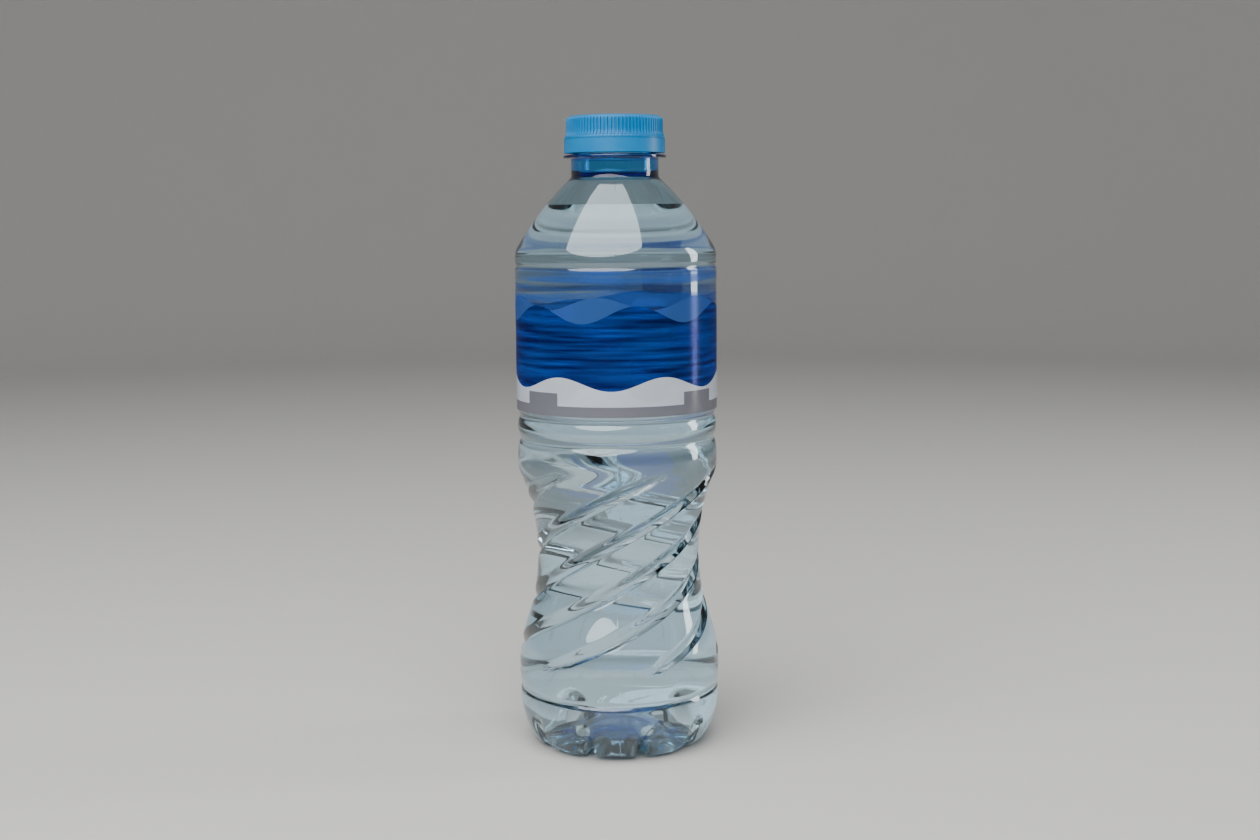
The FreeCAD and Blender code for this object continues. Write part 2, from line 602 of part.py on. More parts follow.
rib_section = new_sketch(cap, "rib_section", "XY_Plane")
rib_section.setExpression("AttachmentOffset.Base.z", SKIRT_LOW + " + dims.flare_height / 2")
polygon(rib_section, [
    (CAP_RADIUS + " - dims.root_sink", "-dims.rib_root / 2"),
    (CAP_RADIUS, "-dims.rib_root / 2"),
    (RIB_CREST, "-dims.rib_tip / 2"),
    (RIB_CREST, "dims.rib_tip / 2"),
    (CAP_RADIUS, "dims.rib_root / 2"),
    (CAP_RADIUS + " - dims.root_sink", "dims.rib_root / 2"),
])
rib = cap.newObject("PartDesign::Pad", "rib")
rib.Profile = rib_section
rib.setExpression("Length", CAP_TOP + " - dims.rib_end"
                  " - " + SKIRT_LOW + " - dims.flare_height / 2")
doc.recompute()
polar(cap, rib, "ribs", "dims.rib_count")

cap_thread_section = new_sketch(cap, "cap_thread_section", "YZ_Plane")
polygon(cap_thread_section, [
    (CAP_BORE + " + dims.root_sink", CAP_THREAD + " - dims.thread_root_width / 2"),
    (CAP_BORE + " + dims.root_sink", CAP_THREAD + " + dims.thread_root_width / 2"),
    (CAP_BORE, CAP_THREAD + " + dims.thread_root_width / 2"),
    (CAP_THREAD_CREST, CAP_THREAD + " + dims.thread_crest_width / 2"),
    (CAP_THREAD_CREST, CAP_THREAD + " - dims.thread_crest_width / 2"),
    (CAP_BORE, CAP_THREAD + " - dims.thread_root_width / 2"),
])
helical_thread(cap, cap_thread_section, "cap_thread", "dims.cap_thread_turns")

# ---------------------------------------------------------------- tamper band
band = doc.addObject("PartDesign::Body", "tamper_band")
band.Label = "tamper_band"
band_section = new_sketch(band, "band_section", "XZ_Plane")
polygon(band_section, [
    (BAND_BORE, BAND_HIGH),
    (BAND_BORE, BAND_LOW + " + dims.lip_height + dims.lip_slope"),
    (LIP_BORE, BAND_LOW + " + dims.lip_height"),
    (LIP_BORE, BAND_LOW),
    (BAND_RADIUS, BAND_LOW),
    (BAND_RADIUS, BAND_HIGH),
])
revolve(band, band_section, "band_revolution")
bridge_section = new_sketch(band, "bridge_section", "XY_Plane")
bridge_section.setExpression("AttachmentOffset.Base.z", BAND_HIGH)
BRIDGE_OUT = "(" + BAND_BORE + " + " + FLARE_RADIUS + " + dims.bridge_depth) / 2"
BRIDGE_IN = "(" + BAND_BORE + " + " + FLARE_RADIUS + " - dims.bridge_depth) / 2"
polygon(bridge_section, [
    (BRIDGE_IN, "-dims.bridge_width / 2"),
    (BRIDGE_OUT, "-dims.bridge_width / 2"),
    (BRIDGE_OUT, "dims.bridge_width / 2"),
    (BRIDGE_IN, "dims.bridge_width / 2"),
])
bridge = band.newObject("PartDesign::Pad", "bridge")
bridge.Profile = bridge_section
bridge.setExpression("Length", "dims.band_slit - dims.bridge_parting")
doc.recompute()
polar(band, bridge, "bridges", "dims.bridge_count")



# ---------------------------------------------------------------- wrap label
def label_tube(name, radius, angle=None):
    """A cylinder as high as the label; with an angle, the sector that its end laps over."""
    tube = doc.addObject("Part::Cylinder", name)
    tube.setExpression("Radius", radius)
    tube.setExpression("Height", "dims.label_height")
    tube.setExpression("Placement.Base.z", "dims.label_low")
    if angle:
        tube.setExpression("Angle", angle)
        tube.Placement.Rotation = FreeCAD.Rotation(V(0, 0, 1), size("seam_bearing"))
    return tube


lap = label_tube("label_lap", LABEL_BORE + " + 2 * dims.label_film", "dims.label_overlap")
sheet = label_tube("label_sheet", LABEL_BORE + " + dims.label_film")
inside = label_tube("label_inside", LABEL_BORE)
both = doc.addObject("Part::Fuse", "label_outside")
both.Base = sheet
both.Tool = lap
label = doc.addObject("Part::Cut", "label")
label.Base = both
label.Tool = inside
label.Label = "label"

# ---------------------------------------------------------------- checks and files
doc.recompute()
for item in doc.Objects:
    if "Invalid" in item.State or "Error" in item.State:
        raise RuntimeError("%s failed to compute: %s" % (item.Name, item.State))

os.makedirs("parts", exist_ok=True)
for piece in (bottle, cap, band, label, water):
    shape = piece.Shape
    if shape.isNull() or not shape.isValid() or len(shape.Solids) != 1:
        raise RuntimeError("%s has no sound solid" % piece.Label)
    shape.exportStep(os.path.join("parts", piece.Label + ".step"))
    print("%-12s %10.1f mm3  %s" % (piece.Label, shape.Volume, shape.BoundBox))
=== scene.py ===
import math

import bpy
import numpy as np
from mathutils import Euler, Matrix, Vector


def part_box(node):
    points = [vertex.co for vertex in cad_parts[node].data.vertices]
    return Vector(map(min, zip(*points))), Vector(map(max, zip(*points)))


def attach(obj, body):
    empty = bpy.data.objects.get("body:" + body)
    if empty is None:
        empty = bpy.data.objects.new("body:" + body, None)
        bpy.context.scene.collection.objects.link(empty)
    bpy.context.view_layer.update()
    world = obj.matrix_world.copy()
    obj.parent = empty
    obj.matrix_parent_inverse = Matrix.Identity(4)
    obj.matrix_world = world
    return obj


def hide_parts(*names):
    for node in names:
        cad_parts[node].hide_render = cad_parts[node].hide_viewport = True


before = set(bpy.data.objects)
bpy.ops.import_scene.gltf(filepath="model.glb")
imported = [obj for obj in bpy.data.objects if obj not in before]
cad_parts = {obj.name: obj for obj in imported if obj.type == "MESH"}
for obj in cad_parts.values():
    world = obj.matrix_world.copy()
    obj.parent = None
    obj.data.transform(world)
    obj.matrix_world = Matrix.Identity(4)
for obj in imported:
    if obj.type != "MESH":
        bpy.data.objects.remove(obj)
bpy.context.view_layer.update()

# A full half-litre water bottle: blown PET body with a fluted waist, the water in it, a wrap label
# of printed film, and a moulded screw cap with its tamper band.
# Sizes are in millimetres and become metres only where a mesh, lamp or camera is made. Bearings are in
# degrees from +X towards +Y, so the front of the bottle is at -90.
MM = 0.001

# how finely the meshes are divided round the axis, and the angle from which an edge looks sharp
COLUMNS = 180
COLUMNS_PER_RIB = 6
LABEL_COLUMNS = 248
LABEL_ROWS = 24
STAGE_COLUMNS = 96
SHARP_EDGE = 40.0

# ---------------------------------------------------------------- sizes from the frame
BAND_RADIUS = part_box("bottle")[1].x / MM
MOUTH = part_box("bottle")[1].z / MM
WATER_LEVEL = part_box("water")[1].z / MM
LABEL_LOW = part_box("label")[0].z / MM
LABEL_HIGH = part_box("label")[1].z / MM
CAP_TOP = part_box("cap")[1].z / MM
CAP_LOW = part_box("cap")[0].z / MM

# ---------------------------------------------------------------- sizes of the blown body
WALL = 0.3
BASE_THICKENING = 1.7
PANEL_RADIUS = BAND_RADIUS - 0.4
RING_UNDERSIDE = MOUTH - 11.9
WAIST = 63.0
FLUTES = 6
FLUTE_TWIST = 4.0
FLUTE_PHASE = -59.0
FLUTE_LOW = WAIST - 32.5
FLUTE_HIGH = WAIST + 28.5
FLUTE_DEPTH = 1.9
FLUTE_FADE = 15.0
# across a flute, where each of its sides starts and where it ends
FLUTE_LOW_SIDE = (-2.1, -1.2)
FLUTE_HIGH_SIDE = (-0.5, 2.9)
FEET = 10
CHANNEL_PHASE = -74.6
CHANNEL_DEPTH = 2.3
CHANNEL_HALF_WIDTH = 2.3
# the radii between which a channel deepens under the base, and the heights between which it runs out
CHANNEL_START = (10.0, 17.0)
CHANNEL_END = (7.0, 13.2)
PETAL_DEPTH = 0.35

# rings pressed into the side: height, depth and half width of each
PRESSED_RINGS = [
    (19.1, 0.55, 1.1),
    (101.0, 0.5, 1.2),
    (108.3, 0.35, 1.1),
    (LABEL_HIGH + 1.0, 0.4, 0.9),
]
# the long soft swells beside them, which give the bands between rings their crown
SOFT_RINGS = [
    (101.0, 0.6, 3.0),
    (108.3, 0.45, 2.6),
    (19.1, 0.25, 3.0),
]

# ---------------------------------------------------------------- sizes of the neck and cap
THREAD_STARTS = 3
THREAD_LEAD = 9.0
THREAD_LOW = RING_UNDERSIDE + 6.7
THREAD_TURNS = 0.4
THREAD_DEPTH = 1.1
# half the thread's width at its crest and at its foot, and the degrees over which its ends rise
THREAD_FLANK = (0.3, 0.85)
THREAD_RUN_IN = 8
FINISH_RADIUS = 12.6
RING_RADIUS = 16.5
BEAD_RADIUS = 14.1
BORE_RADIUS = 10.9
NECK_BORE = 12.3
CAP_RADIUS = 15.0
CAP_BORE = 14.1
FLARE_RADIUS = 16.1
PLUG_RADIUS = BORE_RADIUS - 0.06
RIBS = 84
RIB_HEIGHT = 0.5
CAP_THREAD_TURN = 110.0
CAP_THREAD_DROP = 0.9
CAP_THREAD_SHARE = 0.95
# how far the skirt is drawn past the cap's foot, into the band, so that no slit shows between the two
SKIRT_LAP = 0.28

# ---------------------------------------------------------------- sizes of the water's edge and the label
MENISCUS = 0.12
MENISCUS_REACH = 1.3
FILM = 0.08
LABEL_START = 70.0
LABEL_TURN = 372.0
LABEL_TUCK = 0.06
LABEL_WAVER = 0.03
# how far the lap stands out, and the degrees of turn over which the film climbs onto its own start
LAP_LIFT = 0.09
LAP_CLIMB = (352, 361)


def smooth(value, low, high):
    """Runs softly from 0 at low to 1 at high."""
    share = np.clip((np.asarray(value, float) - low) / (high - low), 0, 1)
    return share * share * (3 - 2 * share)


# ---------------------------------------------------------------- outline of the bottle
def arc(centre, radius, start, end, step):
    """Points (radius, height) along an arc about centre, between two directions in degrees."""
    count = max(2, math.ceil(abs(math.radians(end - start)) * radius / step))
    turn = np.radians(np.linspace(start, end, count + 1))
    return np.column_stack([centre[0] + radius * np.cos(turn), centre[1] + radius * np.sin(turn)])


def line(start, end, step):
    """Points along a straight run."""
    start, end = np.array(start, float), np.array(end, float)
    count = max(1, math.ceil(np.linalg.norm(end - start) / step))
    share = np.linspace(0, 1, count + 1)[:, None]
    return start + (end - start) * share


def rounded(corners, radius, step):
    """A run of straight lines whose corners are rounded off."""
    corners = [np.array(c, float) for c in corners]
    points = [corners[0]]
    for before, corner, after in zip(corners, corners[1:], corners[2:]):
        reach_in, reach_out = before - corner, after - corner
        cut = min(radius, np.linalg.norm(reach_in) / 2, np.linalg.norm(reach_out) / 2)
        first = corner + reach_in / np.linalg.norm(reach_in) * cut
        last = corner + reach_out / np.linalg.norm(reach_out) * cut
        points.extend(line(points[-1], first, step)[1:])
        for share in (0.25, 0.5, 0.75, 1.0):
            points.append((1 - share) ** 2 * first + 2 * share * (1 - share) * corner + share**2 * last)
    points.extend(line(points[-1], corners[-1], step)[1:])
    return np.array(points)


def crossing(centre_a, radius_a, centre_b, radius_b):
    """Of the two points at these distances from two centres, the one nearer to the bottle's axis."""
    a, b = np.array(centre_a, float), np.array(centre_b, float)
    apart = np.linalg.norm(b - a)
    along = (radius_a**2 - radius_b**2 + apart**2) / (2 * apart)
    aside = math.sqrt(radius_a**2 - along**2)
    ahead = (b - a) / apart
    side = np.array([-ahead[1], ahead[0]])
    return min(a + ahead * along + side * aside, a + ahead * along - side * aside, key=lambda p: p[0])


def direction(start, end):
    """Which way one point lies from another, in degrees."""
    return math.degrees(math.atan2(end[1] - start[1], end[0] - start[0]))


# the radii of the outline's rounds, and then their centres, each as a radius and a height
FOOT_ROUND = 2.0
TOE_ROUND = 7.5
HEEL_SWEEP = 28.0
WAIST_LOW_SWEEP = 43.0
WAIST_SWEEP = 68.0
WAIST_TOP_SWEEP = 12.0
SHOULDER_ROUND = 7.0
CROWN_SWEEP = 100.0
NECK_FOOT_ROUND = 1.5

DOME_HEIGHT = 6.8
FOOT_RADIUS = BAND_RADIUS - 9.85
FOOT_EDGE = (FOOT_RADIUS - FOOT_ROUND, FOOT_ROUND)
TOE = (FOOT_RADIUS, TOE_ROUND)
HEEL_RISE = math.sqrt((HEEL_SWEEP - TOE_ROUND) ** 2 - (FOOT_RADIUS - BAND_RADIUS + HEEL_SWEEP) ** 2)
HEEL = (BAND_RADIUS - HEEL_SWEEP, TOE_ROUND + HEEL_RISE)
WAIST_LOW = (BAND_RADIUS - WAIST_LOW_SWEEP, 25.85)
WAIST_HOLLOW = (94.45, WAIST)
WAIST_TOP = (PANEL_RADIUS - WAIST_TOP_SWEEP, 93.4)
SHOULDER = (PANEL_RADIUS - SHOULDER_ROUND, RING_UNDERSIDE - 31.2)
NECK_FOOT = (15.55, RING_UNDERSIDE - 5.3)
CROWN = crossing(SHOULDER, CROWN_SWEEP - SHOULDER_ROUND, NECK_FOOT, CROWN_SWEEP + NECK_FOOT_ROUND)

# The neck's inside runs into the shoulder's over a round of its own, one wall inside the crown.
BORE_FOOT_ROUND = 2.5
BORE_FOOT_RISE = math.sqrt((CROWN_SWEEP - WALL + BORE_FOOT_ROUND) ** 2
                           - (NECK_BORE + BORE_FOOT_ROUND - CROWN[0]) ** 2)
BORE_FOOT = (NECK_BORE + BORE_FOOT_ROUND, CROWN[1] + BORE_FOOT_RISE)


def blown_side():
    """The blown body's outside, from the middle of its underside out and up to the shoulder's crown.
    The last number of each run is the step between the mesh's rows, finer where the wall curves."""
    drop = FOOT_EDGE[1] - DOME_HEIGHT
    dome_sweep = (FOOT_EDGE[0] ** 2 + drop**2 - FOOT_ROUND**2) / (2 * (FOOT_ROUND - drop))
    dome = (0.0, DOME_HEIGHT - dome_sweep)
    dome_end = direction(dome, FOOT_EDGE)
    heel_start = direction(HEEL, TOE)
    low_end = direction(WAIST_LOW, WAIST_HOLLOW)
    top_start = direction(WAIST_HOLLOW, WAIST_TOP)
    label_rest = (PANEL_RADIUS, LABEL_LOW + 1.5)
    label_end = (PANEL_RADIUS, LABEL_HIGH - 1.0)
    runs = [
        arc(dome, dome_sweep, 90, dome_end, 1.6),
        arc(FOOT_EDGE, FOOT_ROUND, dome_end + 180, 270, 0.9),
        arc(TOE, TOE_ROUND, -90, heel_start, 0.75),
        arc(HEEL, HEEL_SWEEP, heel_start, 0, 0.8),
        line((BAND_RADIUS, HEEL[1]), (BAND_RADIUS, WAIST_LOW[1]), 0.4),
        arc(WAIST_LOW, WAIST_LOW_SWEEP, 0, low_end, 1.15),
        arc(WAIST_HOLLOW, WAIST_SWEEP, 180 + low_end, top_start, 1.15),
        arc(WAIST_TOP, WAIST_TOP_SWEEP, top_start - 180, 0, 0.9),
        line((PANEL_RADIUS, WAIST_TOP[1]), label_rest, 0.5),
        line(label_rest, label_end, 9.0),
        line(label_end, (PANEL_RADIUS, SHOULDER[1]), 0.4),
        arc(SHOULDER, SHOULDER_ROUND, 0, direction(CROWN, SHOULDER), 0.8),
    ]
    return np.vstack([runs[0]] + [run[1:] for run in runs[1:]])


def shoulder_cone(centre, sweep, foot, foot_round):
    """The shoulder's slightly crowned cone and the hollow round where it runs into the neck."""
    start, end = direction(centre, SHOULDER), direction(centre, foot)
    crown = arc(centre, sweep, start, end, 1.6)
    return np.vstack([crown[1:], arc(foot, foot_round, end + 180, 180, 0.5)[1:]])


def neck_outline():
    """The neck's outside: its foot, the support ring, the tamper band's bead, and the lip at the mouth."""
    neck = NECK_FOOT[0] - NECK_FOOT_ROUND
    ring = [(neck, NECK_FOOT[1]), (neck, RING_UNDERSIDE), (RING_RADIUS, RING_UNDERSIDE)]
    ring += [(RING_RADIUS, RING_UNDERSIDE + 0.9), (FINISH_RADIUS, RING_UNDERSIDE + 1.4)]
    bead = [(FINISH_RADIUS, RING_UNDERSIDE + 3.3), (BEAD_RADIUS, RING_UNDERSIDE + 3.3)]
    bead += [(BEAD_RADIUS, RING_UNDERSIDE + 3.8), (FINISH_RADIUS, RING_UNDERSIDE + 4.8)]
    lip = [(FINISH_RADIUS, MOUTH - 0.5), (FINISH_RADIUS - 0.5, MOUTH), (BORE_RADIUS, MOUTH)]
    return rounded(ring + bead + lip, 0.3, 0.42)[1:]


def normals_of(points):
    """Which way the PET faces at each point of an outline."""
    run = np.gradient(points, axis=0)
    run /= np.linalg.norm(run, axis=1)[:, None]
    return np.column_stack([run[:, 1], -run[:, 0]])


# ---------------------------------------------------------------- what is pressed into the wall
def grid_twist(height):
    """Bearing that the mesh's columns have turned by at a height, so that they run along the flutes."""
    return FLUTE_TWIST * (np.clip(height, FLUTE_LOW - 3, FLUTE_HIGH + 3) - WAIST)


def pressed_rings(height):
    """Depth of the rings that run round the side, and of the soft swells beside them."""
    depth = np.zeros_like(height)
    for centre, deep, half in PRESSED_RINGS:
        depth += deep * np.exp(-(((height - centre) / half) ** 2) * 1.6)
    for centre, deep, half in SOFT_RINGS:
        depth += deep * np.exp(-(((height - centre) / half) ** 2))
    return depth


def flutes(radius, height, bearing):
    """Depth of the spiral flutes: a crisp lower edge, a gentle upper side and spoon-shaped ends."""
    rise = radius * math.radians(FLUTE_TWIST)
    slant = np.sqrt(1 + rise**2)
    centre = FLUTE_PHASE + FLUTE_TWIST * (height - WAIST)
    pitch = 360.0 / FLUTES
    off = (bearing - centre + pitch / 2) % pitch - pitch / 2
    aside = radius * np.radians(off)
    across = -aside / slant
    from_low = (height - FLUTE_LOW) * slant + aside * rise / slant
    from_high = (FLUTE_HIGH - height) * slant - aside * rise / slant
    reach = np.clip(np.minimum(from_low, from_high) / FLUTE_FADE, 0.0, 1.0)
    swell = np.sqrt(1 - (1 - reach) ** 2) + 1e-6
    across = across / (0.35 + 0.65 * swell)
    low_side = smooth(across, *FLUTE_LOW_SIDE)
    high_side = 1 - smooth(across, *FLUTE_HIGH_SIDE)
    return FLUTE_DEPTH * swell * low_side * high_side * (reach > 0)


def channels(radius, height, bearing):
    """Depth of the channels between the feet, from under the dome up the heel, and of the feet's own
    slight hollow beside them."""
    pitch = 360.0 / FEET
    off = (bearing - CHANNEL_PHASE + pitch / 2) % pitch - pitch / 2
    aside = np.maximum(radius, 1.0) * np.radians(off)
    trough = np.clip(1 - (aside / CHANNEL_HALF_WIDTH) ** 2, 0, 1) ** 1.2
    petal = PETAL_DEPTH * np.cos(np.radians(off * FEET / 2)) ** 6
    under = smooth(radius, *CHANNEL_START)
    up = 1 - smooth(height, *CHANNEL_END)
    inside = (height < 30) * (radius > 8)
    return (CHANNEL_DEPTH * trough + petal) * under * up * inside


def threads(height, bearing):
    """How far the neck's screw thread stands out."""
    out = np.zeros(np.broadcast(height, bearing).shape)
    for start in range(THREAD_STARTS):
        turned = (bearing - 360.0 / THREAD_STARTS * start) % 360.0
        crest = THREAD_LOW + THREAD_LEAD * turned / 360.0
        ridge = 1 - smooth(np.abs(height - crest), *THREAD_FLANK)
        length = 360 * THREAD_TURNS
        ends = smooth(turned, 0, THREAD_RUN_IN) * (1 - smooth(turned, length - THREAD_RUN_IN, length))
        out = np.maximum(out, THREAD_DEPTH * ridge * ends)
    return out


# ---------------------------------------------------------------- meshes
def ring_points(outline, faces, inset, raised=None):
    """Mesh points in rows, each row a ring of COLUMNS points, for an outline and the way it faces."""
    radius, height = outline[:, :1], outline[:, 1:]
    turn = np.arange(COLUMNS)[None, :] * (360.0 / COLUMNS)
    bearing = turn + grid_twist(height)
    depth = pressed_rings(height) * (radius > 20) + inset[:, None]
    depth = depth + flutes(radius, height, bearing) + channels(radius, height, bearing)
    if raised is not None:
        depth = depth - raised(height, bearing)
    r = np.maximum(radius - faces[:, :1] * depth, 0.0)
    z = height - faces[:, 1:] * depth
    angle = np.radians(bearing)
    return np.stack([r * np.cos(angle), r * np.sin(angle), z], axis=2)


def tube_mesh(name, rows, first_tip, last_tip):
    """A closed mesh from rings of points, closed by a point at each end."""
    count, across = rows.shape[:2]
    points = np.vstack([rows.reshape(-1, 3), [first_tip], [last_tip]])
    faces = []
    for i in range(count - 1):
        for j in range(across):
            k = (j + 1) % across
            faces.append((i * across + j, i * across + k, (i + 1) * across + k, (i + 1) * across + j))
    first, last = count * across, count * across + 1
    for j in range(across):
        k = (j + 1) % across
        faces.append((first, k, j))
        faces.append((last, (count - 1) * across + j, (count - 1) * across + k))
    return piece_from(name, points, faces)


def piece_from(name, points, faces):
    """A smooth-shaded object from points in millimetres."""
    mesh = bpy.data.meshes.new(name)
    mesh.from_pydata((np.asarray(points) * MM).tolist(), [], faces)
    mesh.update()
    mesh.polygons.foreach_set("use_smooth", [True] * len(mesh.polygons))
    mesh.set_sharp_from_angle(angle=math.radians(SHARP_EDGE))
    piece = bpy.data.objects.new(name, mesh)
    bpy.context.scene.collection.objects.link(piece)
    return piece


def base_thickening(outline):
    """Extra PET at the middle of the base, which is hardly stretched when the bottle is blown."""
    return BASE_THICKENING * (1 - smooth(outline[:, 0], 9.0, 19.0)) * (outline[:, 1] < 10)


def inner_skin(depth):
    """Rows of points at a depth inside the blown wall, from the middle of the base to the neck's bore."""
    side = blown_side()
    low = ring_points(side, normals_of(side), depth + base_thickening(side))
    cone = shoulder_cone(CROWN, CROWN_SWEEP - depth, BORE_FOOT, BORE_FOOT_ROUND + WALL - depth)
    return np.concatenate([low, ring_points(cone, normals_of(cone), np.zeros(len(cone)))])


def make_bottle():
    """Outer skin, finish and bore in one closed wall."""
    outside = np.vstack([blown_side(), shoulder_cone(CROWN, CROWN_SWEEP, NECK_FOOT, NECK_FOOT_ROUND)])
    outside = np.vstack([outside, neck_outline()])
    outer = ring_points(outside, normals_of(outside), np.zeros(len(outside)), threads)
    inner = inner_skin(WALL)
    step = [(NECK_BORE, RING_UNDERSIDE + 1.0), (BORE_RADIUS, RING_UNDERSIDE + 3.5), (BORE_RADIUS, MOUTH)]
    bore = rounded([(NECK_BORE, BORE_FOOT[1])] + step, 2.0, 1.2)[1:-1]
    bore_rows = ring_points(bore, normals_of(bore), np.zeros(len(bore)))
    inside = np.concatenate([inner, bore_rows])[::-1]
    under = np.array([0, 0, DOME_HEIGHT])
    over = np.array([0, 0, DOME_HEIGHT + WALL + BASE_THICKENING])
    return tube_mesh("pet_bottle", np.concatenate([outer[1:], inside[:-1]]), under, over)


def make_water():
    """The water. Its skin lies in the middle of the PET wall, so that no film of air shows between them."""
    side = inner_skin(WALL / 2)
    above = next(i for i, row in enumerate(side) if row[0, 2] > WATER_LEVEL)
    share = (WATER_LEVEL - side[above - 1, 0, 2]) / (side[above, 0, 2] - side[above - 1, 0, 2])
    shore = side[above - 1] + share * (side[above] - side[above - 1])
    side = np.concatenate([side[1:above - 1], shore[None]])
    edge = np.linalg.norm(shore[0, :2])
    surface = []
    for share in (0.99, 0.98, 0.965, 0.94, 0.9, 0.85, 0.75, 0.6, 0.4, 0.2, 0.08):
        climb = MENISCUS * math.exp(-(1 - share) * edge / MENISCUS_REACH)
        surface.append((edge * share, WATER_LEVEL - MENISCUS + climb))
    surface = np.array(surface)
    top = ring_points(surface, np.zeros((len(surface), 2)), np.zeros(len(surface)))
    low = np.array([0, 0, DOME_HEIGHT + WALL / 2 + BASE_THICKENING])
    high = np.array([0, 0, WATER_LEVEL - MENISCUS])
    return tube_mesh("water_body", np.concatenate([side, top]), low, high)


def cap_outline():
    """The cap's half-section, from the middle of its top down its outside and up its inside."""
    under = MOUTH + 0.1
    top = [(0.6, CAP_TOP - 0.05), (11.2, CAP_TOP - 0.05), (11.6, CAP_TOP), (13.8, CAP_TOP)]
    edge = arc((CAP_RADIUS - 1.0, CAP_TOP - 1.0), 1.0, 90, 0, 0.25)
    skirt = line((CAP_RADIUS, CAP_TOP - 1.0), (CAP_RADIUS, CAP_LOW + 2.4), 0.4)[1:]
    flare = arc((CAP_RADIUS + 3.2, CAP_LOW + 2.4), 3.2, 180, 226, 0.35)[1:]
    foot = [(FLARE_RADIUS, CAP_LOW + 0.25), (FLARE_RADIUS - 0.1, CAP_LOW - SKIRT_LAP)]
    bore = [(CAP_BORE + 0.1, CAP_LOW - SKIRT_LAP), (CAP_BORE, CAP_LOW + 0.1)]
    inside = line((CAP_BORE, CAP_LOW + 0.5), (CAP_BORE, under), 0.4)
    plug = [(PLUG_RADIUS, under), (PLUG_RADIUS, under - 2.2), (PLUG_RADIUS - 0.3, under - 2.6)]
    plug += [(PLUG_RADIUS - 0.6, under - 2.6), (PLUG_RADIUS - 0.8, under - 2.2), (PLUG_RADIUS - 0.8, under)]
    return np.vstack([top, edge, skirt, flare, foot, bore, inside, plug, [(0.6, under)]])


def ribs(height, bearing):
    """The grip ribs of the cap, which run down into the flare and end there in a rounded foot."""
    crest = 0.5 + 0.5 * np.cos(np.radians(bearing * RIBS))
    ends = smooth(height, CAP_LOW + 0.4, CAP_LOW + 0.9) * (1 - smooth(height, CAP_TOP - 1.0, CAP_TOP - 0.3))
    return RIB_HEIGHT * smooth(crest, 0.3, 0.85) * ends


def make_cap():
    """One moulding: top plate, ribbed skirt with its flare, thread on the inside, and the plug seal."""
    outline = cap_outline()
    columns = RIBS * COLUMNS_PER_RIB
    turn = np.arange(columns)[None, :] * (360.0 / columns)
    radius, height = outline[:, :1], outline[:, 1:]
    grip = ribs(height, turn) * (radius > CAP_BORE + 0.5)
    inside = np.abs(radius - CAP_BORE) < 0.05
    thread = threads(height + CAP_THREAD_DROP, turn + CAP_THREAD_TURN) * inside * CAP_THREAD_SHARE
    r = radius + grip - thread
    angle = np.radians(turn + 0 * radius)
    rows = np.stack([r * np.cos(angle), r * np.sin(angle), height + 0 * r], axis=2)
    top = np.array([0, 0, CAP_TOP - 0.2])
    under = np.array([0, 0, MOUTH + 0.1])
    return tube_mesh("screw_cap", rows[::-1], under, top)


def make_label():
    """The film, a hair off the wall, wrapped once round and lapped over itself at the back right."""
    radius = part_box("label")[1].x / MM - FILM
    points, faces = [], []
    for side in (FILM, 0.0):
        for height in np.linspace(LABEL_LOW, LABEL_HIGH, LABEL_ROWS + 1):
            for turn in np.linspace(0, LABEL_TURN, LABEL_COLUMNS + 1):
                lift = LAP_LIFT * float(smooth(turn, *LAP_CLIMB))
                waver = LABEL_WAVER * math.sin(math.radians(turn * 7)) * math.cos(height * 0.35)
                r = radius + side + lift + waver - LABEL_TUCK
                angle = math.radians(LABEL_START + turn)
                points.append((r * math.cos(angle), r * math.sin(angle), height))
    across = LABEL_COLUMNS + 1
    layer = across * (LABEL_ROWS + 1)
    for i in range(LABEL_ROWS):
        for j in range(LABEL_COLUMNS):
            a, b = i * across + j, (i + 1) * across + j
            faces.append((a, a + 1, b + 1, b))
            faces.append((layer + a, layer + b, layer + b + 1, layer + a + 1))
    for j in range(LABEL_COLUMNS):
        top = LABEL_ROWS * across + j
        faces.append((j, layer + j, layer + j + 1, j + 1))
        faces.append((top, top + 1, layer + top + 1, layer + top))
    for i in range(LABEL_ROWS):
        a, b = i * across, (i + 1) * across
        faces.append((a, b, layer + b, layer + a))
        a, b = a + LABEL_COLUMNS, b + LABEL_COLUMNS
        faces.append((a, layer + a, layer + b, b))
    return piece_from("wrap_label", points, faces)


# ---------------------------------------------------------------- materials
def colour(code):
    """A sRGB hex colour as linear RGBA."""
    parts = [int(code[i:i + 2], 16) / 255 for i in (1, 3, 5)]
    return tuple(c / 12.92 if c <= 0.04045 else ((c + 0.055) / 1.055) ** 2.4 for c in parts) + (1.0,)


def node(tree, kind, inputs=None, **settings):
    """Adds a node with its settings. Each input is a value, a socket, or a node, which stands for its
    first output."""
    made = tree.nodes.new("ShaderNode" + kind)
    for name, value in settings.items():
        setattr(made, name, value)
    for name, value in (inputs or {}).items():
        source = value.outputs[0] if isinstance(value, bpy.types.Node) else value
        if isinstance(source, bpy.types.NodeSocket):
            tree.links.new(source, made.inputs[name])
        else:
            made.inputs[name].default_value = source
    return made


def new_material(name):
    material = bpy.data.materials.new(name)
    material.use_nodes = True
    material.node_tree.nodes.clear()
    return material, material.node_tree


